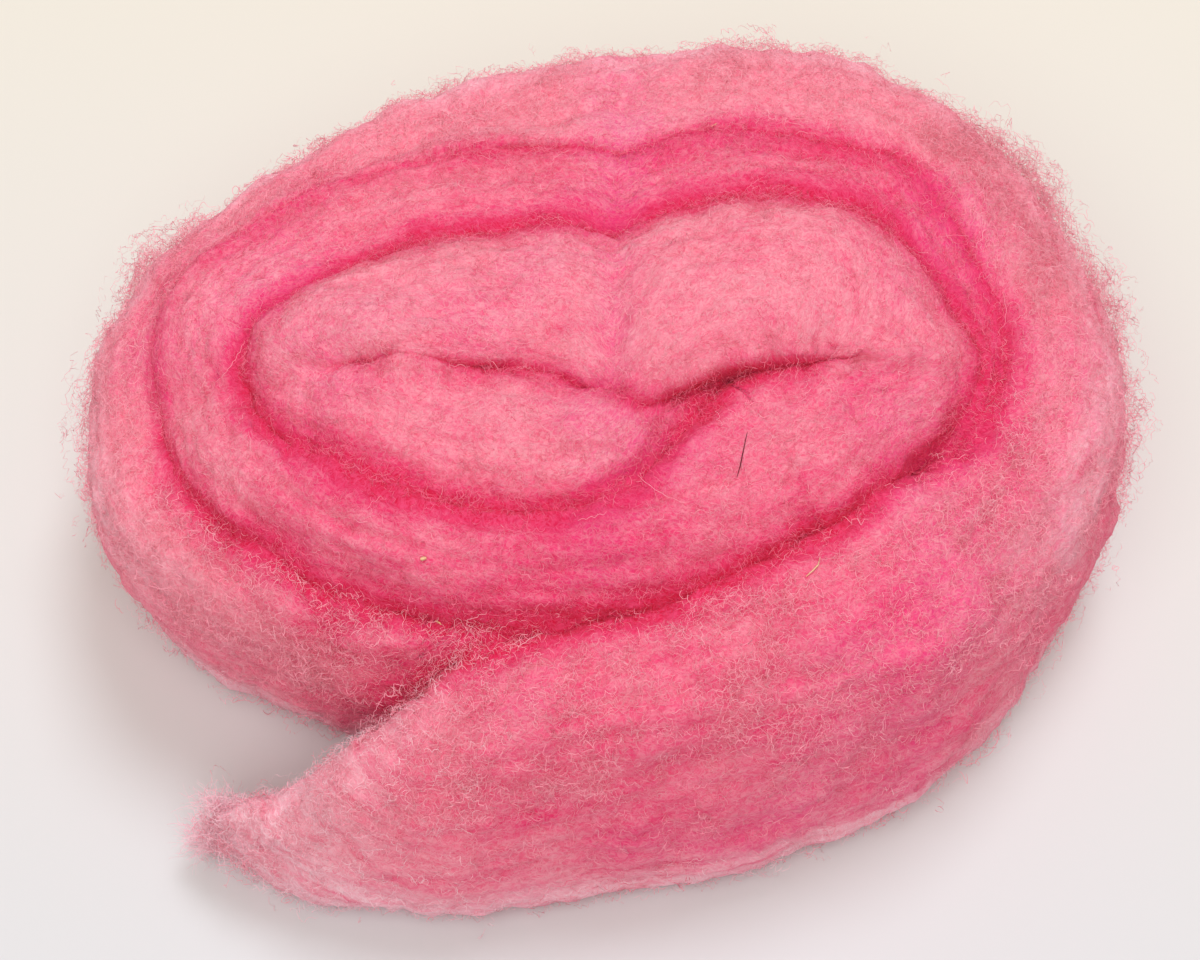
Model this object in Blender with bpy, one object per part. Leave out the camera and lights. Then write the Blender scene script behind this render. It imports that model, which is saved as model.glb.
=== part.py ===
"""Pink wool roving: one thick carded strip, stood on its edge and wound into a loose oval roll.

The strip is lofted along its own path. The path is counted in clock hours seen from above,
12 at the back, 3 at the right, 6 at the front, and it winds clockwise and outwards.
"""
import math

import bmesh
import bpy
import numpy as np

MM = 0.001

# The roll, in millimetres. Its turns lie round a straight fold line of this half length.
FOLD_HALF = 38.0
FOLD_CENTRE = (0.34, -1.87)
TURN_GAP = 0.5
STATION_STEP = 0.2
FIRST_HOUR = 5.05
LAST_HOUR = 43.13

# The faces between turns: how far each lies out from the fold line, in millimetres.
# hour on the clock: (inside turn 1, outside turn 1, outside turn 2, outside turn 3)
WALLS = {
    6: (0.0, 22.8, 37.0, 43.5),
    7: (0.0, 23.5, 36.5, 45.0),
    8: (0.0, 17.0, 30.0, 43.0),
    9: (0.0, 13.0, 27.5, 40.5),
    10: (0.0, 22.0, 38.5, 48.5),
    11: (0.0, 28.0, 46.0, 59.5),
    12: (0.0, 30.5, 48.0, 71.0),
    13: (0.0, 36.5, 50.5, 69.5),
    14: (0.0, 23.0, 31.5, 48.5),
    15: (0.0, 15.8, 21.0, 40.5),
    16: (0.0, 17.0, 23.0, 44.5),
    17: (2.0, 26.6, 34.0, 59.5),
}
# The loose end's outer face goes on past the last turn.
LOOSE_WALLS = {18: 69.0, 18.5: 74.5, 19: 75.0, 20: 75.0}

# Height of the strip's upper edge, and how far its outer face leans in from base to rim.
# hour on the clock: (turn 1, turn 2, turn 3)
RIDGES = {
    6: (49.0, 47.5, 33.0),
    7: (48.5, 46.0, 36.0),
    8: (48.0, 43.5, 35.0),
    9: (47.0, 41.5, 34.0),
    10: (49.5, 43.0, 36.0),
    11: (50.5, 44.0, 39.0),
    12: (50.5, 45.0, 42.0),
    13: (51.5, 45.0, 44.0),
    14: (51.0, 43.0, 43.5),
    15: (49.5, 40.0, 43.0),
    16: (48.5, 30.0, 42.5),
    17: (48.0, 26.0, 42.0),
}
LOOSE_RIDGES = {18: 40.0, 18.6: 33.0, 19: 17.0, 19.2: 8.0}
LEAN = {39: 0.0, 40: 2.0, 41: 6.5, 42: 5.5, 43: 1.0, 45: 0.0, 51: 1.0, 52: 3.5, 53: 11.0, 54: 17.0,
        55: 19.0, 56: 19.0}

# The first end, in the middle of the roll, runs out thin and lies lower.
FIRST_WALLS = {17.4: 7.5}
FIRST_RIDGES = {5: 41.0}

# The loose end parts from the roll after this hour, by this much at its tip.
PART_HOUR = 42.45
PART_WIDTH = 19.0

# The fold across the middle: where it is, how wide to each side, and how deep it goes into the
# outer faces and the rims, in millimetres, on turns 1, 2 and 3.
FOLD_HOUR = 12.05
FOLD_SIDE = 0.24
FOLD_DEPTHS = (4.5, 2.5, 0.8)
FOLD_DIPS = (3.5, 2.5, 1.0)
# The fold line lies a little back, and bends to the front where the cross fold meets it.
FOLD_BACK = 1.5
FOLD_BEND = 7.0
FOLD_BEND_HALF = 10.0
FOLD_BEND_REACH = 22.0

# The strip's section: share of the half thickness, then height over the floor or under the ridge.
FOOT = ((0.0, 0.0), (0.55, 0.0), (0.9, 2.5), (1.0, 8.0))
SHOULDER = ((1.0, 9.0), (0.93, 4.4), (0.62, 1.2))
BELLY = 3.5
# The rims rise and fall along the strip: how far, in millimetres, and how often in a turn.
RIM_WAVES = ((0.6, 5.0), (0.45, 8.3), (0.25, 13.1))


def smooth_rows(rows):
    """Return a function that runs smoothly through the rows, a dict of place: value."""
    places = sorted(rows)
    values = [rows[p] for p in places]

    def read(x):
        i = int(np.clip(np.searchsorted(places, x) - 1, 0, len(places) - 2))
        a = max(i - 1, 0)
        b = min(i + 2, len(places) - 1)
        step = places[i + 1] - places[i]
        k = min(max((x - places[i]) / step, 0.0), 1.0)
        rise_in = (values[i + 1] - values[a]) / (places[i + 1] - places[a]) * step
        rise_out = (values[b] - values[i]) / (places[b] - places[i]) * step
        low = values[i] * (1 + 2 * k) * (1 - k) ** 2 + rise_in * k * (1 - k) ** 2
        return low + values[i + 1] * k * k * (3 - 2 * k) - rise_out * k * k * (1 - k)

    return read


def unroll(table, first, extra):
    """Lay a table of clock rows and turn columns out along the strip's path."""
    rows = dict(first)
    for turn in range(len(table[6])):
        for hour in table:
            rows[hour + 12 * turn] = table[hour][turn]
    last = 12 * (len(table[6]) - 1)
    for hour in extra:
        rows[hour + last] = extra[hour]
    return rows


read_wall = smooth_rows(unroll(WALLS, FIRST_WALLS, LOOSE_WALLS))
read_ridge = smooth_rows(unroll(RIDGES, FIRST_RIDGES, LOOSE_RIDGES))
read_lean = smooth_rows(LEAN)


def ease(x):
    """Go from 0 to 1 with level ends."""
    x = min(max(x, 0.0), 1.0)
    return x * x * (3 - 2 * x)


def cross_fold(hour, depths):
    """Return how deep the cross fold is at an hour of the path, in millimetres."""
    off = (hour - FOLD_HOUR + 6) % 12 - 6
    turn = int(round((hour - FOLD_HOUR) / 12))
    if turn < 0 or turn >= len(depths):
        return 0.0
    return depths[turn] * max(0.0, 1 - abs(off) / FOLD_SIDE) ** 1.5


def wall(hour, height):
    """Return how far out the face that starts turn 1 at the path's hour lies at a height."""
    # The folds at the two ends of the fold line keep a small eye.
    eye = 0.3 + 1.2 * abs(math.cos(math.radians(90 - 30 * hour))) ** 6
    out = max(read_wall(hour), 0.0) + eye
    share = height / 45.0
    out -= read_lean(hour) * share
    out += BELLY * min(out / 40.0, 1.0) * (4 * share * (1 - share) - 0.7)
    out -= cross_fold(hour - 12, FOLD_DEPTHS)
    return max(out, eye)


def plan(hour, out):
    """Return x and y of a point out from the fold line at an hour, in millimetres."""
    angle = math.radians(90 - 30 * hour)
    x = (FOLD_HALF + out) * math.cos(angle)
    y = out * math.sin(angle)
    reach = max(0.0, 1 - out / FOLD_BEND_REACH) ** 2
    y += reach * (FOLD_BACK - FOLD_BEND * math.exp(-((x - 3) / FOLD_BEND_HALF) ** 2))
    return x + FOLD_CENTRE[0], y + FOLD_CENTRE[1]


def section(hour):
    """Return the strip's outline at an hour of its path, as points in millimetres."""
    ridge = read_ridge(hour) - cross_fold(hour, FOLD_DIPS)
    for rise, times in RIM_WAVES:
        ridge += rise * math.sin(math.radians(30 * hour) * times)
    reach = min(1.0, ridge / 30.0)
    half = [(share, height * reach) for share, height in FOOT]
    half.append((1.0, 0.5 * ridge))
    half += [(share, ridge - drop * reach) for share, drop in SHOULDER]
    half.append((0.0, ridge))
    outline = half + [(-share, height) for share, height in reversed(half[1:-1])]
    parted = PART_WIDTH * ease((hour - PART_HOUR) / (LAST_HOUR - PART_HOUR))
    points = []
    for share, height in outline:
        inner = wall(hour, height) + TURN_GAP / 2 + parted
        outer = wall(hour + 12, height) - TURN_GAP / 2
        outer = max(outer, inner + 1.5)
        x, y = plan(hour, (inner + outer) / 2 + share * (outer - inner) / 2)
        points.append((x * MM, y * MM, height * MM))
    return points


def loft(name, sections):
    """Return an object that runs through the sections, with its ends closed."""
    shape = bmesh.new()
    rings = [[shape.verts.new(point) for point in ring] for ring in sections]
    count = len(rings[0])
    for ring, following in zip(rings, rings[1:]):
        for i in range(count):
            j = (i + 1) % count
            shape.faces.new((ring[i], ring[j], following[j], following[i]))
    shape.faces.new(rings[0])
    shape.faces.new(rings[-1])
    bmesh.ops.recalc_face_normals(shape, faces=shape.faces)
    mesh = bpy.data.meshes.new(name)
    shape.to_mesh(mesh)
    shape.free()
    mesh.shade_smooth()
    return bpy.data.objects.new(name, mesh)


def wool(name, colour):
    """Return a soft, dull wool material."""
    material = bpy.data.materials.new(name)
    material.use_nodes = True
    shader = material.node_tree.nodes["Principled BSDF"]
    shader.inputs["Base Color"].default_value = (*colour, 1.0)
    shader.inputs["Roughness"].default_value = 0.92
    shader.inputs["Metallic"].default_value = 0.0
    shader.inputs["Sheen Weight"].default_value = 0.4
    return material


for leftover in list(bpy.data.objects):
    bpy.data.objects.remove(leftover)

group = bpy.data.collections.new("wool_roving")
bpy.context.scene.collection.children.link(group)

stations = int((LAST_HOUR - FIRST_HOUR) / STATION_STEP)
hours = [FIRST_HOUR + STATION_STEP * i for i in range(stations + 1)] + [LAST_HOUR]
# The cross fold is narrow, so each turn has two more stations beside it.
hours += [FOLD_HOUR + 12 * turn + side for turn in range(3) for side in (-0.08, 0.08)]
hours.sort()
roving = loft("roving", [section(hour) for hour in hours])
roving.data.materials.append(wool("pink_wool", (0.93, 0.16, 0.27)))
group.objects.link(roving)
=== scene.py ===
import math

import bmesh
import bpy
import numpy as np
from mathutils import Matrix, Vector, noise
from mathutils.bvhtree import BVHTree


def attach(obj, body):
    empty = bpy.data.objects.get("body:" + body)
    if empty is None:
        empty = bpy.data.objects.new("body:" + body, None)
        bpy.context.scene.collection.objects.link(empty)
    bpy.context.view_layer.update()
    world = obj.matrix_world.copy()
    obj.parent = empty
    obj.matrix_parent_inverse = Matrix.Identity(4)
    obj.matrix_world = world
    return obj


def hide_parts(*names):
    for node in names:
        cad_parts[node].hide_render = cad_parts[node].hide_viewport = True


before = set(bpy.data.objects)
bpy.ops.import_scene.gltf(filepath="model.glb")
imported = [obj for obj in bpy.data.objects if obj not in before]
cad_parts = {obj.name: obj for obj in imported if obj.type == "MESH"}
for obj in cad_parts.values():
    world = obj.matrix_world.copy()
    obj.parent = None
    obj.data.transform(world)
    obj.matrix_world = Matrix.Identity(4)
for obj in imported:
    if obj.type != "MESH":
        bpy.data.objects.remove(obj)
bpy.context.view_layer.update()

MM = 0.001
UP = np.array([0.0, 0.0, 1.0])

# ---------------------------------------------------------------- camera, floor and light
# The lengths up here are in millimetres.
CAM_TILT = 58.0
CAM_AWAY = 400.0
CAM_AT = (-0.66, -16.87, 40.0)
CAM_LENS = 80.0
# The floor is painted cooler and a little darker at the front and warmer at the back: painted light on a
# plain table.
FLOOR_FRONT = (0.68, 0.695, 0.735)
FLOOR_BACK = (0.755, 0.725, 0.66)
ROOM_COLOUR = (1.0, 0.89, 0.75, 1.0)
ROOM_STRENGTH = 0.45

# ---------------------------------------------------------------- the strip, as in the solid
# The path is counted in clock hours seen from above, and winds clockwise and outwards.
FOLD_HALF = 38.0
FOLD_CENTRE = (0.34, -1.87)
FIRST_HOUR = 5.05
LAST_HOUR = 43.13
TURN_2_HOUR = 17
TURN_3_HOUR = 29
# How far each face between turns lies out from the fold line.
# hour on the clock: (inside turn 1, outside turn 1, outside turn 2, outside turn 3)
WALLS = {
    6: (0.0, 22.8, 37.0, 43.5),
    7: (0.0, 23.5, 36.5, 45.0),
    8: (0.0, 17.0, 30.0, 43.0),
    9: (0.0, 13.0, 27.5, 40.5),
    10: (0.0, 22.0, 38.5, 48.5),
    11: (0.0, 28.0, 46.0, 59.5),
    12: (0.0, 30.5, 48.0, 71.0),
    13: (0.0, 36.5, 50.5, 69.5),
    14: (0.0, 23.0, 31.5, 48.5),
    15: (0.0, 15.8, 21.0, 40.5),
    16: (0.0, 17.0, 23.0, 44.5),
    17: (2.0, 26.6, 34.0, 59.5),
}
FIRST_WALLS = {17.4: 7.5}
LOOSE_WALLS = {18: 69.0, 18.5: 74.5, 19: 75.0, 20: 75.0}
# Height of the strip's upper edge.
# hour on the clock: (turn 1, turn 2, turn 3)
RIDGES = {
    6: (49.0, 47.5, 33.0),
    7: (48.5, 46.0, 36.0),
    8: (48.0, 43.5, 35.0),
    9: (47.0, 41.5, 34.0),
    10: (49.5, 43.0, 36.0),
    11: (50.5, 44.0, 39.0),
    12: (50.5, 45.0, 42.0),
    13: (51.5, 45.0, 44.0),
    14: (51.0, 43.0, 43.5),
    15: (49.5, 40.0, 43.0),
    16: (48.5, 30.0, 42.5),
    17: (48.0, 26.0, 42.0),
}
FIRST_RIDGES = {5: 41.0}
LOOSE_RIDGES = {18: 40.0, 18.6: 33.0, 19: 17.0, 19.2: 8.0}
# How far a face leans in from its base to this height, by the face's hour.
LEAN = {39: 0.0, 40: 2.0, 41: 6.5, 42: 5.5, 43: 1.0, 45: 0.0, 51: 1.0, 52: 3.5, 53: 11.0, 54: 17.0,
        55: 19.0, 56: 19.0}
LEAN_HEIGHT = 45.0
# The loose end parts from the roll after this hour, by this much at its tip.
PART_HOUR = 42.45
PART_WIDTH = 19.0
# The folds at the two ends of the fold line keep a small eye, larger right at the ends.
EYE_LEAST = 0.3
EYE_MORE = 1.2
FOLD_HOUR = 12.05
# The cross fold is softer here than in the solid, because the turns merge.
FOLD_SIDE = 0.30
FOLD_DEPTHS = (3.4, 2.0, 0.8)
FOLD_DIPS = (2.2, 1.8, 1.0)
FOLD_BACK = 1.5
FOLD_BEND = 7.0
FOLD_BEND_HALF = 10.0
FOLD_BEND_REACH = 22.0
# The strip's section: share of the half thickness, then height over the floor or under the ridge.
FOOT = ((0.0, 0.0), (0.55, 0.0), (0.9, 2.5), (1.0, 8.0))
SHOULDER = ((1.0, 9.0), (0.93, 4.4), (0.62, 1.2))
FULL_RIDGE = 30.0       # under this height the section shrinks
BELLY = 3.5             # how far the faces bulge
BELLY_OUT = 40.0        # the bulge is full this far out from the fold line
# The rims rise and fall along the strip: how far, and how often in a turn.
RIM_WAVES = ((0.6, 5.0), (0.45, 8.3), (0.25, 13.1))

# ---------------------------------------------------------------- what the dressing adds
# Soft turns press into each other by this much.
TURN_PRESS = 1.1
LEAST_THICKNESS = 1.5
# They merge over this reach, a longer one where the folds between them are faint.
# hour of the path: (outer side, inner side)
MERGE_REACHES = {
    5: (8.0, 8.0), 12.2: (8.0, 8.0), 12.7: (11.0, 8.0), 14: (9.0, 8.0), 15: (8.0, 8.0), 18.5: (8.0, 8.0),
    20: (10.0, 8.0), 24: (10.0, 8.0), 24.7: (11.0, 11.0), 26: (10.0, 11.0), 27.5: (11.0, 9.0),
    29.5: (11.0, 8.0), 30: (8.0, 8.0), 32: (8.0, 10.0), 36: (8.0, 11.0), 38: (8.0, 10.0),
    39.5: (8.0, 9.0), 40.5: (8.0, 12.0), 42: (8.0, 9.0), 44: (8.0, 9.0),
}
LONGEST_REACH = 12.0
MERGE_BELOW = 17.0      # the turns merge down to this depth under their rims
MERGE_FLOOR = 8.0       # and not below this height
OWN_HOURS = 1.5         # faces nearer than this on the path belong to the same turn
BLOCK_HOURS = 0.8       # the strip is searched for near faces in blocks of this length
# A turn shows down to this depth under the lower of two rims, and all the way where it has parted.
SHOWS_BELOW = 9.5
NO_COVER = 60.0
PARTS_OVER = 0.6
# The groove between turns 2 and 3 is closed by this share at the back, by hour of turn 2.
GROOVE_CLOSED = {20.0: 0.0, 21.0: 0.45, 22.0: 0.8, 23.7: 0.75, 24.5: 0.5, 26.2: 0.5, 27.0: 0.2, 27.6: 0.0}
CLOSED_DIP = 0.8        # what is lifted ends up to this far under the rim
CLOSED_BELOW = 13.0     # it is lifted from this depth under the rim upwards
# How much more painted shade each hour of the path takes than open sky alone gives.
EXTRA_PAINTED_SHADE = {5: -0.04, 7: 0.10, 8: 0.09, 9: 0.02, 13: 0.0, 15: 0.06, 16.4: 0.16, 17.2: 0.15, 18: 0.32,
          19: 0.24, 20: 0.08, 21: 0.0, 22: 0.02, 23.5: 0.16, 24.5: 0.22, 25.5: 0.22, 27: 0.28, 29: 0.26,
          30: 0.22, 31: 0.08, 32: -0.06, 34: -0.10, 36: -0.13, 37: -0.06, 38: 0.0, 39: 0.02, 40: 0.12,
          41: 0.22, 42: 0.22, 43: 0.0}
# The painted shade is deeper near other turns as well: (by how much, within this distance).
CLOSE_SHADES = ((0.42, 6.0), (0.26, 2.5))
CLOSE_REACH = 9.0
# Noises that displace the surface: (height, size of its lumps, seed).
LUMPS = ((1.1, 14.0, 3.1), (0.9, 7.0, 8.7), (0.55, 3.3, 4.9))
OUTER_LUMPS = ((0.9, 10.0, 6.6),)
STREAKS = ((0.65, 2.8, 5.3), (0.30, 1.3, 2.2))
STREAK_STRETCH = 9.0
TORN_EDGE = ((1.0, 4.0, 9.4), (0.5, 1.6, 1.4))
ROUGHNESS = 0.16
# Lumps and dents of the front: (x, y, z): (radius, height)
WALL_LUMPS = {
    (8.8, -52.7, 34.0): (6.0, 2.2),
    (5.2, -53.3, 32.0): (4.5, 1.5),
    (39.5, -54.9, 20.0): (5.0, -2.0),
    (46.4, -51.6, 20.0): (5.0, -2.0),
}
# The frizz stands higher in a few places: (x, y): (radius, how much higher)
HIGH_TUFTS = {
    (-76.0, 31.0): (5.0, 2.0),
    (64.0, 42.0): (13.0, 1.1),
    (77.0, 20.0): (12.0, 0.8),
    (-60.0, -50.0): (9.0, 1.2),
    (-44.0, -44.0): (7.0, 1.2),
    (82.0, 0.0): (6.0, 0.9),
}
# The slit in the middle closes over its two ends: (from this x, over this length).
SLIT_LEFT = (-12.0, 22.0)
SLIT_RIGHT = (28.0, 12.0)
SLIT_PRESS = 0.8        # its faces press towards each other by this much
SLIT_REACH = 11.0       # its two faces merge over this reach
SLIT_HOUR = 17.4        # its face ends at this hour of the path,
SLIT_FADE = 0.8         # fading over this many hours before it
# A dark hair and bits of straw are caught in the wool: breadth, and the places (x, y) that each lies over.
HAIRS = (
    (0.16, ((21.1, -14.0), (20.5, -17.0), (19.9, -19.9), (19.4, -21.5))),
)
STRAW = (
    (0.24, ((29.2, -35.8), (30.3, -34.8), (31.1, -33.8), (31.4, -32.4))),
    (0.75, ((-26.8, -33.2), (-25.9, -33.0))),
    (0.32, ((17.2, 47.3), (18.1, 47.3))),
    (0.28, ((-24.8, -39.0), (-23.9, -39.9))),
)
CAUGHT_POINTS = 13      # points along each of them
CAUGHT_LIFT = 0.45      # how high it lies over the wool
CAUGHT_THICK = 0.12     # it is at most this thick
# The torn end thins out over this length, and its edge is ragged by this much.
TORN_LENGTH = 11.0
TORN_THIN = 0.70
TORN_RAGGED = 4.0
# The first end sinks between the turns over the first hour of the path, by this much.
FIRST_SINK = 1.5
# Up to this hour it is wider by these lengths, inwards and outwards.
FIRST_WIDER_HOUR = 6.2
FIRST_WIDER = (2.0, 0.3)
# The last turn leans on the roll from this hour until it parts, by this much.
LEANS_FROM = 40
LEANS_BY = 1.2
# Turn 2 is pressed up a little between its neighbours at the right front, by hour of the path.
PRESSED_UP = {26.8: 0.0, 27.6: 6.0, 28.4: 7.0, 29.4: 0.0}
HIGHEST_FIBRE = 4.5     # a fibre floats at most this high over the wool
LOWEST_FIBRE = 0.15     # and lies at least this high over the floor

FINE = 480              # points round a section before they are spread out
AROUND = 88             # points round a section in the mesh
STEP = 1.35             # between sections
HIDDEN_SHARE = 0.22     # how close the points lie where the strip is hidden
PATH_HEIGHT = 25.0      # the path is measured at this height,
PATH_SHARES = (0.3, 0.7)    # this much towards the inner and the outer face
SKY_RAYS = 20           # rays that look for open sky from each point,
SKY_REACH = 20.0        # each this long
GOLDEN_TURN = 2.39996   # the turn between two of them, which spreads them evenly


def rows_at(table, place):
    """Read a table of place: value at one or more places, straight between its rows."""
    places = sorted(table)
    return np.interp(place, places, [table[p] for p in places])


def smooth_rows(rows):
    """Return a function that runs smoothly through the rows, a dict of place: value."""
    places = sorted(rows)
    values = [rows[p] for p in places]

    def read(x):
        i = int(np.clip(np.searchsorted(places, x) - 1, 0, len(places) - 2))
        a = max(i - 1, 0)
        b = min(i + 2, len(places) - 1)
        step = places[i + 1] - places[i]
        k = min(max((x - places[i]) / step, 0.0), 1.0)
        rise_in = (values[i + 1] - values[a]) / (places[i + 1] - places[a]) * step
        rise_out = (values[b] - values[i]) / (places[b] - places[i]) * step
        low = values[i] * (1 + 2 * k) * (1 - k) ** 2 + rise_in * k * (1 - k) ** 2
        return low + values[i + 1] * k * k * (3 - 2 * k) - rise_out * k * k * (1 - k)

    return read


def unroll(table, first, extra):
    """Lay a table of clock rows and turn columns out along the strip's path."""
    rows = dict(first)
    for turn in range(len(table[6])):
        for hour in table:
            rows[hour + 12 * turn] = table[hour][turn]
    last = 12 * (len(table[6]) - 1)
    for hour in extra:
        rows[hour + last] = extra[hour]
    return rows


read_wall = smooth_rows(unroll(WALLS, FIRST_WALLS, LOOSE_WALLS))
read_ridge = smooth_rows(unroll(RIDGES, FIRST_RIDGES, LOOSE_RIDGES))
read_lean = smooth_rows(LEAN)


def ease(x):
    """Go from 0 to 1 with level ends."""
    x = np.clip(x, 0.0, 1.0)
    return x * x * (3 - 2 * x)


def cross_fold(hour, depths):
    """How deep the cross fold is at an hour of the path."""
    off = (hour - FOLD_HOUR + 6) % 12 - 6
    turn = int(round((hour - FOLD_HOUR) / 12))
    if turn < 0 or turn >= len(depths):
        return 0.0
    return depths[turn] * max(0.0, 1 - abs(off) / FOLD_SIDE) ** 1.5


def wall(hour, height):
    """How far out the face that starts at the path's hour lies, for an array of heights."""
    eye = EYE_LEAST + EYE_MORE * abs(math.cos(math.radians(90 - 30 * hour))) ** 6
    out = max(read_wall(hour), 0.0) + eye
    share = height / LEAN_HEIGHT
    out = out - read_lean(hour) * share
    out = out + BELLY * np.minimum(out / BELLY_OUT, 1.0) * (4 * share * (1 - share) - 0.7)
    out = out - cross_fold(hour - 12, FOLD_DEPTHS)
    return np.maximum(out, eye)


def plan(hour, out):
    """x and y of points out from the fold line at an hour."""
    angle = math.radians(90 - 30 * hour)
    x = (FOLD_HALF + out) * math.cos(angle)
    y = out * math.sin(angle)
    reach = np.maximum(0.0, 1 - out / FOLD_BEND_REACH) ** 2
    y = y + reach * (FOLD_BACK - FOLD_BEND * np.exp(-((x - 3) / FOLD_BEND_HALF) ** 2))
    return x + FOLD_CENTRE[0], y + FOLD_CENTRE[1]


def ridge_at(hour):
    """Height of the strip's upper edge at an hour of the path, with its waves."""
    ridge = read_ridge(hour) - cross_fold(hour, FOLD_DIPS)
    ridge += rows_at(PRESSED_UP, hour)
    for rise, times in RIM_WAVES:
        ridge += rise * math.sin(math.radians(30 * hour) * times)
    return ridge


def outline(ridge, count):
    """A smooth closed outline through the solid's own section: shares and heights.
    It runs from the middle of the foot up the outer face, over the rim and down the inner one."""
    reach = min(1.0, ridge / FULL_RIDGE)
    half = [(share, height * reach) for share, height in FOOT]
    half.append((1.0, 0.5 * ridge))
    half += [(share, ridge - drop * reach) for share, drop in SHOULDER]
    half.append((0.0, ridge))
    ring = np.array(half + [(-s, h) for s, h in reversed(half[1:-1])])
    n = len(ring)
    t = np.linspace(0, n, count, endpoint=False)
    i = t.astype(int)
    k = (t - i)[:, None]
    p0, p1, p2, p3 = ring[(i - 1) % n], ring[i % n], ring[(i + 1) % n], ring[(i + 2) % n]
    pts = 0.5 * (2 * p1 + (p2 - p0) * k + (2 * p0 - 5 * p1 + 4 * p2 - p3) * k ** 2
                 + (3 * p1 - p0 - 3 * p2 + p3) * k ** 3)
    return np.clip(pts[:, 0], -1, 1), np.maximum(pts[:, 1], 0.0)


def open_to_air(hour, share, height):
    """How far each point of the section shows, from 0 between turns to 1 in the open."""
    own = read_ridge(hour)
    outer_cover = min(own, read_ridge(hour + 12)) - SHOWS_BELOW if hour + 12 < LAST_HOUR else -NO_COVER
    outer_cover -= NO_COVER * ease((hour + 12 - PART_HOUR) / PARTS_OVER)
    before = read_ridge(hour - 12) if hour - 12 > FIRST_HOUR else own
    inner_cover = min(own, before) - SHOWS_BELOW
    inner_cover -= NO_COVER * ease((hour - PART_HOUR) / PARTS_OVER)
    cover = np.where(share >= 0, outer_cover, inner_cover)
    return ease((height - cover) / 5.0) * ease((height - 0.3) / 3.0)


def closing(hour, share, x):
    """How far the groove beside each point of a section is closed, and the hour of the path across it."""
    if hour < TURN_2_HOUR:
        across = (18 if hour < 12 else 30) - hour
        at_left = ease((SLIT_LEFT[0] - x) / SLIT_LEFT[1])
        at_right = ease((x - SLIT_RIGHT[0]) / SLIT_RIGHT[1])
        return np.maximum(at_left, at_right) * ease(-4 * share), max(across, FIRST_HOUR + 0.5)
    turn, way = (hour, 1) if hour < TURN_3_HOUR else (hour - 12, -1)
    return rows_at(GROOVE_CLOSED, turn) * ease(4 * way * share), hour + 12 * way


def slit_face(hour):
    """1 while the strip's inner face is a face of the slit in the middle, then down to 0."""
    return ease((SLIT_HOUR - hour) / SLIT_FADE)


def build_grid():
    """Rows of points along the strip, closer together where it shows, and the values at each point."""
    probe = np.arange(FIRST_HOUR, LAST_HOUR, 0.02)
    middle = []
    for hour in probe:
        inner = wall(hour, np.array([PATH_HEIGHT]))
        outer = wall(hour + 12, np.array([PATH_HEIGHT]))
        x, y = plan(hour, (inner * PATH_SHARES[0] + outer * PATH_SHARES[1]))
        middle.append((x[0], y[0]))
    middle = np.array(middle)
    run = np.concatenate([[0], np.cumsum(np.linalg.norm(np.diff(middle, axis=0), axis=1))])
    count = int(run[-1] / STEP)
    runs = np.linspace(0, run[-1], count)
    hours = np.interp(runs, run, probe)
    grid = np.zeros((count, AROUND, 3))
    show, girth, side, far, closed = (np.zeros((count, AROUND)) for _ in range(5))
    for r, hour in enumerate(hours):
        share, height = outline(ridge_at(hour) - FIRST_SINK * ease(FIRST_HOUR + 1 - hour), FINE)
        parted = PART_WIDTH * ease((hour - PART_HOUR) / (LAST_HOUR - PART_HOUR))
        if hour > LEANS_FROM:
            parted -= LEANS_BY * (1 - ease((hour - PART_HOUR) / 0.25))
        first = ease(FIRST_WIDER_HOUR - hour)
        inner = wall(hour, height) - TURN_PRESS / 2 + parted
        inner = inner - SLIT_PRESS * slit_face(hour) - FIRST_WIDER[0] * first
        outer = wall(hour + 12, height) + TURN_PRESS / 2 + FIRST_WIDER[1] * first
        outer = np.maximum(outer, inner + LEAST_THICKNESS)
        torn = ease((runs[r] - run[-1] + TORN_LENGTH) / TORN_LENGTH)
        half = (outer - inner) / 2 * (1 - TORN_THIN * torn)
        out = (inner + outer) / 2 + share * half
        x, y = plan(hour, out)
        # Where a groove is closed, both of its sides rise to one height.
        top = height.max()
        shut, across = closing(hour, share, x)
        level = (ridge_at(across) - top) / 2 if shut.max() > 0 else 0.0
        target = top - CLOSED_DIP * (1 - 0.8 * shut) + level * ease((np.abs(share) - 0.1) / 0.9)
        lifted = height + (target - height) * shut * ease((height - top + CLOSED_BELOW) / 5)
        pts = np.stack([x, y, lifted], axis=1)
        seen = open_to_air(hour, share, height)
        gap = np.linalg.norm(np.roll(pts, -1, axis=0) - pts, axis=1)
        along = np.concatenate([[0], np.cumsum(gap * (HIDDEN_SHARE + seen))])
        want = np.linspace(0, along[-1], AROUND, endpoint=False)
        ring = np.vstack([pts, pts[:1]])
        for c in range(3):
            grid[r, :, c] = np.interp(want, along, ring[:, c])
        girth[r] = np.interp(want, along, np.concatenate([[0], np.cumsum(gap)]))
        for numbers, value in ((show, seen), (side, share), (far, out), (closed, shut)):
            numbers[r] = np.interp(want, along, np.append(value, value[0]))
    return hours, runs, grid, show, girth, side, far, closed


def normals_of(points):
    """Outward normals and directions along the strip."""
    along = np.gradient(points, axis=0)
    around = np.roll(points, -1, axis=1) - np.roll(points, 1, axis=1)
    n = np.cross(around, along)
    n /= np.maximum(np.linalg.norm(n, axis=2, keepdims=True), 1e-9)
    middle = points.mean(axis=1, keepdims=True)
    if np.sum((points - middle) * n) < 0:
        n = -n
    t = along / np.maximum(np.linalg.norm(along, axis=2, keepdims=True), 1e-9)
    return n, t


def field(points, size, seed):
    """Smooth noise from -1 to 1 at an array of points, with lumps of about the given size."""
    flat = points.reshape(-1, points.shape[-1]) / size
    out = np.array([noise.noise(Vector((p[0] + seed, p[1] - seed, p[2] + 0.37 * seed))) for p in flat])
    return out.reshape(points.shape[:-1])


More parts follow.
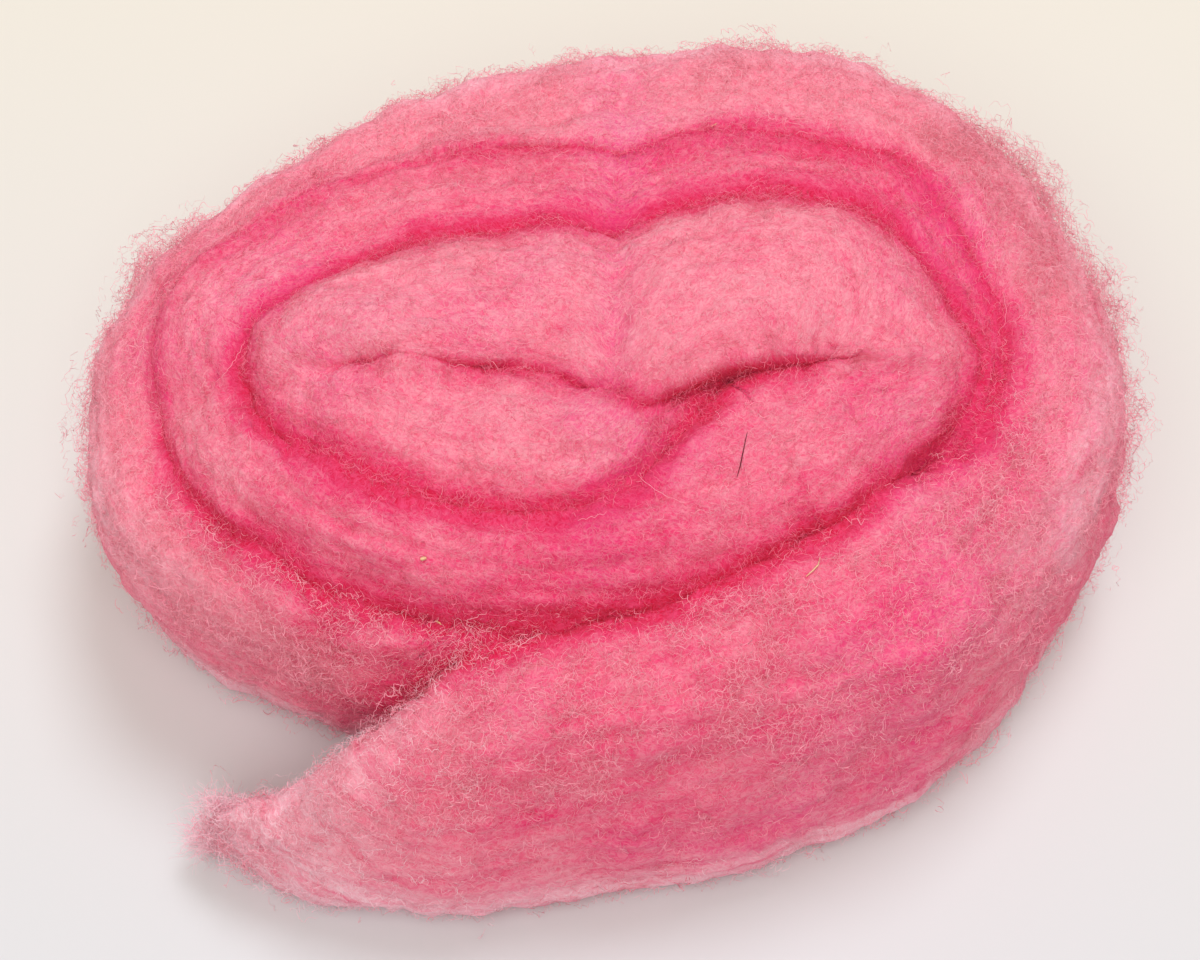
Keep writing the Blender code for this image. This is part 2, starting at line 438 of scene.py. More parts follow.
def fields(points, table):
    """The sum of the noises in a table of (height, size, seed)."""
    return sum(height * field(points, size, seed) for height, size, seed in table)


def grid_faces(first, last, cols):
    """Quads between the first and the last row of a grid that is closed round its columns."""
    r = np.arange(first, last)[:, None] * cols
    c = np.arange(cols)[None, :]
    d = (c + 1) % cols
    return np.stack([r + c, r + d, r + cols + d, r + cols + c], axis=2).reshape(-1, 4)


def distance_to_other_turns(points, reach):
    """How far each point is from the nearest face of another turn, up to the reach."""
    count, cols = points.shape[:2]
    flat = [tuple(p) for p in points.reshape(-1, 3)]
    blocks = []
    for start in np.arange(FIRST_HOUR, LAST_HOUR, BLOCK_HOURS):
        inside = np.nonzero((hours >= start) & (hours < start + BLOCK_HOURS))[0]
        if len(inside) < 2:
            continue
        first, last = inside[0], min(inside[-1] + 1, count - 1)
        tree = BVHTree.FromPolygons(flat, [tuple(f) for f in grid_faces(first, last, cols)])
        box = points[first:last + 1].reshape(-1, 3)
        blocks.append((hours[first], hours[last], tree, box.min(0) - reach, box.max(0) + reach))
    near = np.full(points.shape[:2], reach)
    for r in range(count):
        ring = points[r]
        for low, high, tree, box_low, box_high in blocks:
            if low - OWN_HOURS < hours[r] < high + OWN_HOURS:
                continue
            hit = np.all((ring > box_low) & (ring < box_high), axis=1) & (ring[:, 2] > MERGE_FLOOR)
            for c in np.nonzero(hit)[0]:
                found = tree.find_nearest(Vector(ring[c]), near[r, c])
                if found[0] is not None:
                    near[r, c] = min(near[r, c], found[3])
    return near


def sky_seen(points, normals, rays, reach):
    """The share of the sky over each point that the wool itself leaves open."""
    count, cols = points.shape[:2]
    flat = [tuple(p) for p in points.reshape(-1, 3)]
    tree = BVHTree.FromPolygons(flat, [tuple(f) for f in grid_faces(0, count - 1, cols)])
    rng = np.random.default_rng(12)
    z = np.sqrt((np.arange(rays) + 0.5) / rays)
    turn = np.arange(rays) * GOLDEN_TURN
    local = np.stack([np.sqrt(1 - z * z) * np.cos(turn), np.sqrt(1 - z * z) * np.sin(turn), z], axis=1)
    seen = np.zeros((count, cols))
    # Every other row is looked from, and the rows between are filled in.
    looked = np.arange(0, count, 2)
    for r in looked:
        spin = rng.uniform(0, 2 * math.pi)
        ca, sa = math.cos(spin), math.sin(spin)
        for c in range(cols):
            if show[r, c] < 0.02:
                continue
            n = normals[r, c]
            aside = np.cross(n, (0.0, 0.6, 0.8) if abs(n[0]) > 0.5 else (1.0, 0.0, 0.0))
            aside /= np.linalg.norm(aside)
            other = np.cross(n, aside)
            way = (local[:, 0:1] * (ca * aside + sa * other) + local[:, 1:2] * (ca * other - sa * aside)
                   + local[:, 2:3] * n)
            start = Vector(points[r, c] + 0.7 * n)
            total = 0.0
            for d in way:
                found = tree.ray_cast(start, Vector(d), reach)
                total += 1.0 if found[0] is None else found[3] / reach
            seen[r, c] = total / rays
    for r in range(count):
        low = r - r % 2
        high = min(low + 2, looked[-1])
        k = (r - low) / 2
        seen[r] = seen[low] * (1 - k) + seen[high] * k
    for _ in range(2):
        seen = (np.roll(seen, 1, 1) + 2 * seen + np.roll(seen, -1, 1)) / 4
        seen[1:-1] = (seen[:-2] + 2 * seen[1:-1] + seen[2:]) / 4
    return seen


hours, runs, grid, show, girth, side, far, closed = build_grid()
rows, cols = grid.shape[:2]
normal, tangent = normals_of(grid)
at_hour = hours[:, None]
to_end = (runs - runs[-1])[:, None]
outer_turn = at_hour > TURN_3_HOUR
from_crest = grid[..., 2] - grid[..., 2].max(axis=1)[:, None]

# Turns merge softly where they meet.
near = distance_to_other_turns(grid, LONGEST_REACH)
reach_out, reach_in = (rows_at({p: pair[k] for p, pair in MERGE_REACHES.items()}, at_hour) for k in (0, 1))
reach = np.where(side >= 0, reach_out, reach_in)
under_rim = ease((from_crest + MERGE_BELOW) / 6.0)
merge = np.maximum(reach - near, 0.0) ** 2 / (4 * reach) * under_rim
# The two faces of the slit in the middle merge upwards.
at_slit = slit_face(at_hour) * (side < 0)
slit_near = np.minimum(2 * np.maximum(far, 0.0), SLIT_REACH)
slit_merge = at_slit * (SLIT_REACH - slit_near) ** 2 / (4 * SLIT_REACH) * under_rim * (1 - closed)
merge = merge * (1 - at_slit)

run_grid = np.broadcast_to(runs[:, None], girth.shape)
flow = np.stack([run_grid / STREAK_STRETCH, girth, np.zeros_like(girth)], axis=2)
lumps = fields(grid, LUMPS) + fields(grid, OUTER_LUMPS) * outer_turn
streaks = fields(flow, STREAKS)
# Each small place also stands out or in a little by itself.
rough = np.random.default_rng(5).normal(0, ROUGHNESS, girth.shape)
# Round the ends of the slit the strip is crowded, and its streaks are left out.
roomy = ease(np.linalg.norm(np.gradient(grid, axis=0), axis=2) / (0.8 * STEP))
for place, (radius, rise) in WALL_LUMPS.items():
    lumps += rise * np.exp(-np.sum((grid - place) ** 2, axis=2) / radius ** 2)
push = normal * (1 - closed)[..., None] + UP * closed[..., None]
base = grid + push * ((lumps + (streaks + rough) * roomy) * show + merge)[..., None]
base[..., 2] += slit_merge

# The torn end is ragged.
torn = ease((to_end + TORN_LENGTH) / TORN_LENGTH)
round_end = np.stack([girth, 0 * girth, 0 * girth], axis=2)
ragged = TORN_RAGGED * torn ** 2 * fields(round_end, TORN_EDGE)
base = base + tangent * ragged[..., None]
base[..., 2] = np.maximum(base[..., 2], 0.0)
normal, tangent = normals_of(base)
sky = sky_seen(base, normal, SKY_RAYS, SKY_REACH)
# Painted shade: the colour is deep where little sky is seen, and deepest right where two turns meet.
near_all = distance_to_other_turns(base, CLOSE_REACH)
near_all = near_all + (CLOSE_REACH - near_all) * 0.55 * closed * (at_hour < TURN_2_HOUR)
faint = closed * (at_hour > TURN_2_HOUR)
crease_shade = sum(depth * (1 - ease(near_all / size)) for depth, size in CLOSE_SHADES)
crease_shade = crease_shade * (1 - 0.45 * at_slit)
painted_light = 0.38 + 0.62 * (sky + 0.45 * faint * (1 - sky)) - crease_shade * (1 - 0.8 * faint)
painted_light = painted_light - rows_at(EXTRA_PAINTED_SHADE, at_hour)
# The wool is thin at its foot and towards the torn end, and paler there: painted light that comes through
# thin wool.
thin_and_lit = np.clip(ease((15.0 - base[..., 2]) / 13.0) * show + ease((to_end + 35) / 30), 0, 1)
# Light comes through the outer edge of the roll; this is painted as paler, thin-looking wool at the back.
outer_edge = show * (side > 0) * ease((from_crest + 17.0) / 9.0) * ease((np.abs(side) - 0.35) / 0.5)
at_back = ease((at_hour - 31.0) / 1.5) * ease((41.0 - at_hour) / 1.5)
thin_and_lit = np.clip(thin_and_lit + 0.60 * outer_edge * at_back, 0, 1)


# ---------------------------------------------------------------- the strip's mesh


def mesh_from(name, verts, faces):
    """A smooth mesh object from arrays of points in millimetres and faces of one size."""
    mesh = bpy.data.meshes.new(name)
    count, size = faces.shape
    mesh.vertices.add(len(verts))
    mesh.vertices.foreach_set("co", (verts * MM).astype(np.float32).ravel())
    mesh.loops.add(count * size)
    mesh.loops.foreach_set("vertex_index", faces.astype(np.int32).ravel())
    mesh.polygons.add(count)
    mesh.polygons.foreach_set("loop_start", np.arange(0, count * size, size, dtype=np.int32))
    mesh.update(calc_edges=True)
    mesh.validate()
    mesh.shade_smooth()
    obj = bpy.data.objects.new(name, mesh)
    bpy.context.scene.collection.objects.link(obj)
    return obj


def strip_object():
    """The strip's mesh, its two ends closed with strips of quads."""
    half = cols // 2
    ends = []
    for row, turn in ((0, 1), (rows - 1, -1)):
        ring = np.arange(cols) + row * cols
        # Each point is paired with the one across.
        for k in range(1, half - 1):
            a, b = ring[k], ring[(k + 1) % cols]
            e, f = ring[(cols - k - 1) % cols], ring[cols - k]
            ends.append((a, f, e, b) if turn == 1 else (a, b, e, f))
    quads = np.vstack([grid_faces(0, rows - 1, cols), np.array(ends)])
    obj = mesh_from("wool_strip", base.reshape(-1, 3), quads)
    # What is left open at each cap's two tips is closed with one face.
    shape = bmesh.new()
    shape.from_mesh(obj.data)
    bmesh.ops.holes_fill(shape, edges=[e for e in shape.edges if e.is_boundary], sides=0)
    bmesh.ops.recalc_face_normals(shape, faces=shape.faces)
    shape.to_mesh(obj.data)
    shape.free()
    obj.data.shade_smooth()
    return obj


strip = strip_object()


def add_uv():
    """Along and around the strip, in metres, for the material's fibre direction."""
    half_girth = 0.04
    mesh = strip.data
    uv = mesh.uv_layers.new(name="UVMap")
    loop_vert = np.zeros(len(mesh.loops), dtype=np.int32)
    mesh.loops.foreach_get("vertex_index", loop_vert)
    u = run_grid.reshape(-1)[loop_vert] * MM
    v = girth.reshape(-1)[loop_vert] * MM
    ring = girth.max(axis=1)[loop_vert // cols] * MM * 1.01
    start = np.zeros(len(mesh.polygons), dtype=np.int32)
    total = np.zeros(len(mesh.polygons), dtype=np.int32)
    mesh.polygons.foreach_get("loop_start", start)
    mesh.polygons.foreach_get("loop_total", total)
    for s, t in zip(start, total):
        part = v[s:s + t]
        # A face across the seam runs on past the end of the ring.
        if part.max() - part.min() > half_girth:
            v[s:s + t] = np.where(part < half_girth, part + ring[s:s + t], part)
    uv.data.foreach_set("uv", np.stack([u, v], axis=1).astype(np.float32).ravel())


def add_values(obj, name, values):
    """A number for each point of an object, which its material reads."""
    layer = obj.data.attributes.new(name, "FLOAT", "POINT")
    layer.data.foreach_set("value", values.astype(np.float32).ravel())


from_fold = np.abs((at_hour - FOLD_HOUR + 6) % 12 - 6) * np.ones((1, cols))
add_uv()
add_values(strip, "painted_sky_light", painted_light)
add_values(strip, "thin_lit_wool", thin_and_lit)
add_values(strip, "roomy", roomy)
# Painted light along the cross fold, where light comes through the crease.
add_values(strip, "cross_fold", np.exp(-(from_fold / 0.12) ** 2) * (at_hour < 40))


# ---------------------------------------------------------------- materials
class Nodes:
    """Short ways to add and join shader nodes."""

    def __init__(self, material):
        material.use_nodes = True
        self.tree = material.node_tree
        self.shader = self.tree.nodes["Principled BSDF"]

    def add(self, kind, **values):
        n = self.tree.nodes.new(kind)
        for key, value in values.items():
            setattr(n, key, value)
        return n

    def put(self, socket, value):
        if isinstance(value, (int, float)):
            socket.default_value = value
        elif isinstance(value, tuple):
            socket.default_value = (*value, 1.0) if len(value) == 3 else value
        else:
            self.tree.links.new(value, socket)

    def read(self, name):
        """A number that add_values gave to the mesh."""
        return self.add("ShaderNodeAttribute", attribute_name=name).outputs["Fac"]

    def math(self, kind, x, y=None, clamp=False):
        n = self.add("ShaderNodeMath", operation=kind, use_clamp=clamp)
        self.put(n.inputs[0], x)
        if y is not None:
            self.put(n.inputs[1], y)
        return n.outputs[0]

    def mix(self, factor, low, high):
        n = self.add("ShaderNodeMix", data_type="RGBA")
        for name, value in (("Factor_Float", factor), ("A_Color", low), ("B_Color", high)):
            self.put(next(i for i in n.inputs if i.identifier == name), value)
        return next(o for o in n.outputs if o.identifier == "Result_Color")

    def span(self, value, low, high):
        n = self.add("ShaderNodeMapRange", clamp=True)
        self.put(n.inputs["From Min"], low)
        self.put(n.inputs["From Max"], high)
        self.put(n.inputs["Value"], value)
        return n.outputs[0]

    def placed(self, source, sizes, offset):
        """Coordinates in lumps of these many metres."""
        m = self.add("ShaderNodeMapping")
        m.inputs["Scale"].default_value = [1.0 / s for s in sizes]
        m.inputs["Location"].default_value = (offset, 1.7 * offset, 0.3 * offset)
        self.put(m.inputs["Vector"], source)
        return m.outputs["Vector"]

    def noise(self, source, sizes, offset, detail=1.0, bent=0.0, rough=0.5):
        n = self.add("ShaderNodeTexNoise")
        self.put(n.inputs["Scale"], 1.0)
        self.put(n.inputs["Detail"], detail)
        self.put(n.inputs["Roughness"], rough)
        self.put(n.inputs["Distortion"], bent)
        self.put(n.inputs["Vector"], self.placed(source, sizes, offset))
        return n.outputs["Fac"]

    def warped(self, source, size, reach, offset):
        """Coordinates pushed about by a noise, so that what is drawn in them runs in curls."""
        n = self.add("ShaderNodeTexNoise")
        self.put(n.inputs["Scale"], 1.0)
        self.put(n.inputs["Detail"], 1.0)
        self.put(n.inputs["Vector"], self.placed(source, (size, size, size), offset))
        centred = self.add("ShaderNodeVectorMath", operation="SUBTRACT")
        self.put(centred.inputs[0], n.outputs["Color"])
        centred.inputs[1].default_value = (0.5, 0.5, 0.5)
        scaled = self.add("ShaderNodeVectorMath", operation="SCALE")
        self.put(scaled.inputs[0], centred.outputs[0])
        self.put(scaled.inputs["Scale"], reach)
        total = self.add("ShaderNodeVectorMath", operation="ADD")
        self.put(total.inputs[0], source)
        self.put(total.inputs[1], scaled.outputs[0])
        return total.outputs[0]

    def strands(self, source, turn, along, across, offset, low, high):
        """Strands of this length and breadth in metres, turned by an angle in degrees."""
        m = self.add("ShaderNodeMapping", vector_type="TEXTURE")
        m.inputs["Rotation"].default_value = (0.0, 0.0, math.radians(turn))
        m.inputs["Scale"].default_value = (along, across, 1.0)
        m.inputs["Location"].default_value = (offset, 0.6 * offset, 0.0)
        self.put(m.inputs["Vector"], source)
        n = self.add("ShaderNodeTexNoise")
        self.put(n.inputs["Scale"], 1.0)
        self.put(n.inputs["Detail"], 0.0)
        self.put(n.inputs["Vector"], m.outputs["Vector"])
        return self.span(n.outputs["Fac"], low, high)


def wool_material():
    """Felted, crimped fibres: thin curly lines over a mottled pink, with painted shade that makes it deeper
    and redder in folds.
    """
    mat = bpy.data.materials.new("pink_wool_surface")
    n = Nodes(mat)
    shader = n.shader
    shader.inputs["Roughness"].default_value = 0.95
    shader.inputs["Specular IOR Level"].default_value = 0.1
    shader.inputs["Sheen Weight"].default_value = 0.10
    shader.inputs["Sheen Roughness"].default_value = 0.5
    shader.inputs["Sheen Tint"].default_value = (1.0, 0.62, 0.70, 1.0)
    here = n.add("ShaderNodeTexCoord").outputs["Object"]
    unrolled = n.add("ShaderNodeUVMap", uv_map="UVMap").outputs["UV"]

    curly = n.warped(unrolled, 0.0013, 0.0021, 3.3)
    curlier = n.warped(unrolled, 0.0009, 0.0016, 8.8)
    layers = [
        n.strands(curly, 22, 0.0016, 0.00026, 0.31, 0.50, 0.66),
        n.strands(curlier, -38, 0.0014, 0.00024, 0.77, 0.50, 0.66),
        n.strands(curly, 75, 0.0013, 0.00024, 1.23, 0.52, 0.68),
        n.strands(curlier, 4, 0.0018, 0.00030, 1.91, 0.48, 0.66),
    ]
    grain = n.noise(here, (0.0005, 0.0005, 0.0005), 5.5, 2.0, 0.5, 0.6)
    tufts = n.noise(unrolled, (0.0060, 0.0028, 1.0), 8.1, 3.0, 0.8, 0.6)
    clouds = n.noise(here, (0.014, 0.014, 0.014), 2.3, 2.0)
    dye = n.noise(here, (0.03, 0.03, 0.03), 7.7, 1.0)
    wisp = n.noise(unrolled, (0.016, 0.0045, 1.0), 4.4, 3.0, 1.2, 0.65)

    # Painted shade from open sky, a little uneven, as the wool is.
    swings = [n.math("MULTIPLY", n.math("SUBTRACT", value, 0.5), strength)
              for value, strength in ((clouds, 0.35), (tufts, 0.25), (wisp, 0.55))]
    uneven = n.math("ADD", n.math("ADD", swings[0], swings[1]), swings[2])
    painted_brightness = n.math("ADD", n.read("painted_sky_light"), uneven)
    # The colour runs from a deep red in painted shade to a pale pink in painted light.
    body = n.mix(n.span(painted_brightness, 0.30, 0.70), (0.66, 0.015, 0.070), (0.81, 0.050, 0.185))
    body = n.mix(n.span(painted_brightness, 0.66, 1.02), body, (0.88, 0.225, 0.330))
    # The dye is a little cooler in places; along the cross fold a cooler tint is painted light that comes
    # through the crease.
    cool = n.math("MULTIPLY", n.span(dye, 0.50, 0.75), 0.30)
    cool = n.math("ADD", cool, n.math("MULTIPLY", n.read("cross_fold"), 0.30), clamp=True)
    body = n.mix(cool, body, (0.81, 0.060, 0.32))
    # Painted shade: small dark spots between the fibres.
    painted_gap_shade = n.math("MULTIPLY", n.math("SUBTRACT", 1.0, n.span(grain, 0.32, 0.60)), 0.35)
    body = n.mix(painted_gap_shade, body, (0.76, 0.022, 0.100))
    # The strands are paler in painted light and deeper in painted shade.
    thread = n.mix(n.span(painted_brightness, 0.42, 1.0), (0.83, 0.080, 0.21), (0.92, 0.38, 0.47))
    # Thin wool is paler and cooler, in wisps: painted light that comes through it.
    wisps = n.math("MULTIPLY", n.read("thin_lit_wool"), n.span(wisp, 0.26, 0.54))
    body = n.mix(n.math("MULTIPLY", wisps, 0.85), body, (0.95, 0.52, 0.63))
    thread = n.mix(n.math("MULTIPLY", wisps, 0.90), thread, (0.97, 0.72, 0.80))
    room = n.read("roomy")
    layers = [n.math("MULTIPLY", layer, room) for layer in layers]
    for strength, layer in zip((0.30, 0.40, 0.45, 0.55), layers[::-1]):
        body = n.mix(n.math("MULTIPLY", layer, strength), body, thread)
    n.put(shader.inputs["Base Color"], body)

    height = n.math("MULTIPLY", grain, 0.8)
    for layer in layers:
        height = n.math("ADD", height, n.math("MULTIPLY", layer, 0.35))
    height = n.math("ADD", height, n.math("MULTIPLY", tufts, 1.5))
    bump = n.add("ShaderNodeBump")
    bump.inputs["Strength"].default_value = 0.45
    bump.inputs["Distance"].default_value = 0.00025
    n.put(bump.inputs["Height"], height)
    n.put(shader.inputs["Normal"], bump.outputs["Normal"])
    return mat


def fibre_material(name, dark, light):
    """Single fibres: each has its own tone between two colours, and changes a little along its length."""
    mat = bpy.data.materials.new(name)
    n = Nodes(mat)
    n.shader.inputs["Roughness"].default_value = 0.8
    n.shader.inputs["Specular IOR Level"].default_value = 0.15
    n.shader.inputs["Sheen Weight"].default_value = 0.05
    here = n.add("ShaderNodeTexCoord").outputs["Object"]
    drift = n.span(n.noise(here, (0.0012, 0.0012, 0.0012), 1.9, 1.0), 0.35, 0.65)
    share = n.math("ADD", n.math("MULTIPLY", n.read("tone"), 0.7), n.math("MULTIPLY", drift, 0.3))
    n.put(n.shader.inputs["Base Color"], n.mix(share, dark, light))
    return mat


strip.data.materials.append(wool_material())

# ---------------------------------------------------------------- loose fibres
# The area of the strip's surface at each point, for drawing places on it.
step_along = np.linalg.norm(np.gradient(base, axis=0), axis=2)
step_around = np.linalg.norm(np.roll(base, -1, axis=1) - base, axis=2)
cell = step_along * step_around


def unit(v):
    """Vectors brought to a length of 1."""
    return v / np.maximum(np.linalg.norm(v, axis=-1, keepdims=True), 1e-9)


def number_of(name):
    """A fixed number from a name, to seed the draws of each piece."""
    value = 7
    for ch in name:
        value = (value * 131 + ord(ch)) % 1000003
    return value


def curls(rng, root, out, start, size, segs, swing, wave, bend):
    """Crimped fibres as rows of points, from a root, an outward direction and a first heading."""
    count = len(root)
    aside = unit(np.cross(out, start))
    step = (size / segs)[:, None]
    run = step * np.arange(segs + 1)[None, :]
    waves = wave * rng.uniform(0.7, 1.5, count)[:, None]
    sway = swing * rng.uniform(0.5, 1.4, count)[:, None]
    across = sway * np.sin(2 * np.pi * run / waves + rng.uniform(0, 2 * np.pi, count)[:, None])
    across += rng.normal(0, bend, count)[:, None] * run / size[:, None]
    lift = 0.7 * sway * np.sin(2 * np.pi * run / waves * 0.91 + rng.uniform(0, 2 * np.pi, count)[:, None])
    way = unit(start[:, None, :] + across[..., None] * aside[:, None, :] + lift[..., None] * out[:, None, :])
    walk = np.cumsum(way[:, :-1] * step[..., None], axis=1)
    return np.concatenate([root[:, None, :], root[:, None, :] + walk], axis=1)


def scatter(rng, count, weight):
    """Points on the strip, drawn by weight: place, outward direction, the way along it and tuft."""
    share = (cell * weight).ravel()
    pick = rng.choice(rows * cols, size=count, p=share / share.sum())
    r, c = pick // cols, pick % cols
    r2, c2 = np.minimum(r + 1, rows - 1), (c + 1) % cols
    a, b = rng.random((2, count, 1))
    root = (base[r, c] * (1 - b) + base[r, c2] * b) * (1 - a) + (base[r2, c] * (1 - b) + base[r2, c2] * b) * a
    return root, normal[r, c], tangent[r, c], tufted[r, c]


def fibres(name, count, length, segs, swing, wave, breadth, weight, material, spread, rise, lift, bend,
           ahead=False):
    """Fine crimped fibres on the strip: spread is how far they turn from its length,
    rise how steeply they leave it, lift how high they lie over it, and bend how far they curve.
    Those that run ahead all start out towards the torn end."""
    rng = np.random.default_rng(number_of(name))
    root, out, along, _ = scatter(rng, count, weight)
    across = np.cross(out, along)
    turn = rng.normal(0, spread, count) + (0.0 if ahead else np.pi * (rng.random(count) < 0.5))
    way = np.cos(turn)[:, None] * along + np.sin(turn)[:, None] * across
    steep = np.abs(rng.normal(0, rise, count))[:, None]
    start = unit(way + steep * out)
    size = length * rng.uniform(0.55, 1.45, count)
    pts = curls(rng, root, out, start, size, segs, swing, wave, bend)
    if not ahead:
        # A lying fibre is centred on its root and keeps close to the surface.
        pts = pts - (pts.mean(axis=1) - root)[:, None, :]
    pts = pts + out[:, None, :] * (lift * rng.gamma(2.0, 0.5, count))[:, None, None]
    facing = unit(out + 1.2 * UP) if ahead else out
    return ribbons(name, pts, facing, breadth, 0.6, material)


def frizz(name, count, length, segs, cloud, curl, wave, breadth, weight, material, tumble):
    """A cloud of short curly fibres over the strip, thinning out upwards by about the cloud's depth."""
    rng = np.random.default_rng(number_of(name))
    root, out, along, tuft = scatter(rng, count, weight)
    turn = rng.uniform(0, 2 * np.pi, count)[:, None]
    way = unit(np.cos(turn) * along + 0.8 * np.sin(turn) * np.cross(out, along))
    aside = np.cross(out, way)
    t = np.linspace(0, 1, segs + 1)[None, :]
    size = length * rng.uniform(0.5, 1.5, count)[:, None] * (0.75 + 0.25 * tuft[:, None])
    deep = cloud * tuft[:, None]
    float_up = np.minimum(deep * rng.gamma(1.0, 0.8, (count, 1)), HIGHEST_FIBRE)
    rise = np.minimum(deep * rng.gamma(2.0, 0.3, (count, 1)), 0.4 * size)
    waves = size / (wave * rng.uniform(0.7, 1.5, count)[:, None])
    swing = curl * rng.uniform(0.5, 1.5, count)[:, None]
    phase = rng.uniform(0, 2 * np.pi, (3, count, 1))
    bend = 0.5 * size * rng.normal(0, 0.6, (count, 1)) * t * t
    sway = swing * np.sin(2 * np.pi * waves * t + phase[0]) + bend
    tilt = rng.normal(0, 0.35, (count, 1)) * deep * (t - 0.5)
    lift = (float_up + rise * np.sin(np.pi * t) ** 0.8 + tilt
            + 0.9 * swing * np.sin(2 * np.pi * waves * 0.93 * t + phase[1]))
    run = size * (t - 0.5) + 0.6 * swing * np.sin(2 * np.pi * waves * 1.1 * t + phase[2])
    pts = (root[:, None, :] + run[..., None] * way[:, None, :] + sway[..., None] * aside[:, None, :]
           + np.maximum(lift, -0.2)[..., None] * out[:, None, :])
    return ribbons(name, pts, out, breadth, tumble, material)


def ribbons(name, pts, out, breadth, tumble, material):
    """Thin flat fibres along rows of points, narrower at their ends. Each shows its flat side
    outwards, tumbled by a share."""
    pts[..., 2] = np.maximum(pts[..., 2], LOWEST_FIBRE)
    n, m = pts.shape[:2]
    rng = np.random.default_rng(number_of(name) + 1)
    tang = unit(np.gradient(pts, axis=1))
    face = unit(out[:, None, :] + tumble * rng.normal(0, 1, (n, 1, 3)))
    across = unit(np.cross(tang, face))
    share = np.linspace(0.04, 0.96, m)
    half = 0.5 * breadth * (0.45 + 0.55 * np.sin(np.pi * share) ** 0.6)[None, :, None]
    half = half * rng.uniform(0.7, 1.3, (n, 1, 1))
    verts = np.stack([pts - half * across, pts + half * across], axis=2).reshape(-1, 3)
    verts[:, 2] = np.maximum(verts[:, 2], 0.02)
    start = (np.arange(n) * m * 2)[:, None] + (np.arange(m - 1) * 2)[None, :]
    faces = np.stack([start, start + 2, start + 3, start + 1], axis=2).reshape(-1, 4)
    obj = mesh_from(name, verts, faces)
    obj.data.materials.append(material)
    add_values(obj, "tone", np.repeat(rng.random(n), 2 * m))
    # Each fibre has a cell of its own in the UV map.
    cells = math.ceil(math.sqrt(n))
    fibre, place = np.divmod(faces.ravel(), 2 * m)
    u = (fibre % cells + 0.1 + 0.8 * (place // 2) / (m - 1)) / cells
    v = (fibre // cells + 0.2 + 0.6 * (place % 2)) / cells
    uv = obj.data.uv_layers.new(name="OFBake")
    uv.data.foreach_set("uv", np.stack([u, v], axis=1).astype(np.float32).ravel())
    return obj


def caught(name, bits, material):
    """Small things caught in the wool: each is a thin bar that lies over the strip through its places."""
    quads = [tuple(f) for f in grid_faces(0, rows - 1, cols)]
    tree = BVHTree.FromPolygons([tuple(p) for p in base.reshape(-1, 3)], quads)
    rng = np.random.default_rng(number_of(name))
    verts, faces = [], []
    for breadth, places in bits:
        line = np.array(places)
        t = np.linspace(0, len(line) - 1, CAUGHT_POINTS)
        x = np.interp(t, range(len(line)), line[:, 0])
        y = np.interp(t, range(len(line)), line[:, 1])
        z = [tree.ray_cast(Vector((a, b, 70.0)), Vector((0, 0, -1)))[0][2] for a, b in zip(x, y)]
        z = np.convolve(np.pad(z, 2, mode="edge"), np.ones(5) / 5, mode="valid") + CAUGHT_LIFT
        path = np.stack([x, y, z], axis=1)
        across = unit(np.cross(np.gradient(path, axis=0), UP))
        narrowing = 0.35 + 0.65 * np.sin(np.pi * np.linspace(0.06, 0.94, CAUGHT_POINTS))
        half = breadth / 2 * narrowing * rng.uniform(0.85, 1.15, CAUGHT_POINTS)
        first = len(verts)
        # Four sides, so that it has a thickness.
        for p, a, h in zip(path, across, half):
            up_by = 0.5 * min(h, CAUGHT_THICK) * UP
            verts += [p - a * h, p + up_by, p + a * h, p - up_by]
        for k in range(CAUGHT_POINTS - 1):
            ring = first + 4 * k
            for c in range(4):
                d = (c + 1) % 4
                faces.append((ring + c, ring + d, ring + 4 + d, ring + 4 + c))
        last = first + 4 * (CAUGHT_POINTS - 1)
        faces += [(first + 3, first + 2, first + 1, first), tuple(last + c for c in range(4))]
    obj = mesh_from(name, np.array(verts), np.array(faces))
    obj.data.materials.append(material)
    add_values(obj, "tone", rng.random(len(verts)))
    return obj


hair_dark = fibre_material("hair_dark", (0.10, 0.012, 0.020), (0.22, 0.03, 0.05))
straw = fibre_material("straw_pale", (0.80, 0.42, 0.20), (0.95, 0.72, 0.48))
# These fibre pinks are lit and shaded copies of one colour: pale where the strip is open, half lit over the
# rest of the top, deep in creases as painted shade, and paler at the outline and the torn end as painted
# light that comes through.
lit_fibre_pink = fibre_material("fibre_painted_light", (0.86, 0.24, 0.34), (0.95, 0.42, 0.52))
half_lit_fibre_pink = fibre_material("fibre_half_lit", (0.80, 0.10, 0.21), (0.91, 0.22, 0.35))
crossing = fibre_material("fibre_crossing", (0.80, 0.10, 0.20), (0.92, 0.26, 0.38))
shaded_fibre_pink = fibre_material("fibre_painted_shade", (0.70, 0.040, 0.12), (0.84, 0.090, 0.22))
backlit_fibre_pink = fibre_material("fibre_backlit", (0.88, 0.28, 0.38), (0.96, 0.47, 0.56))
thin_lit_fibre_pink = fibre_material("fibre_thin_and_lit", (0.93, 0.50, 0.61), (0.98, 0.72, 0.79))

# How densely each kind of fibre stands on each point of the strip.
up = np.clip(0.35 + 0.65 * normal[..., 2], 0.1, 1.0)
open_part = ease((sky - 0.45) / 0.45)
outer_wall = show * outer_turn * ease((grid[..., 2] - 0.5) / 4.0) * (0.3 + open_part)
tip = ease((to_end + 6) / 5)
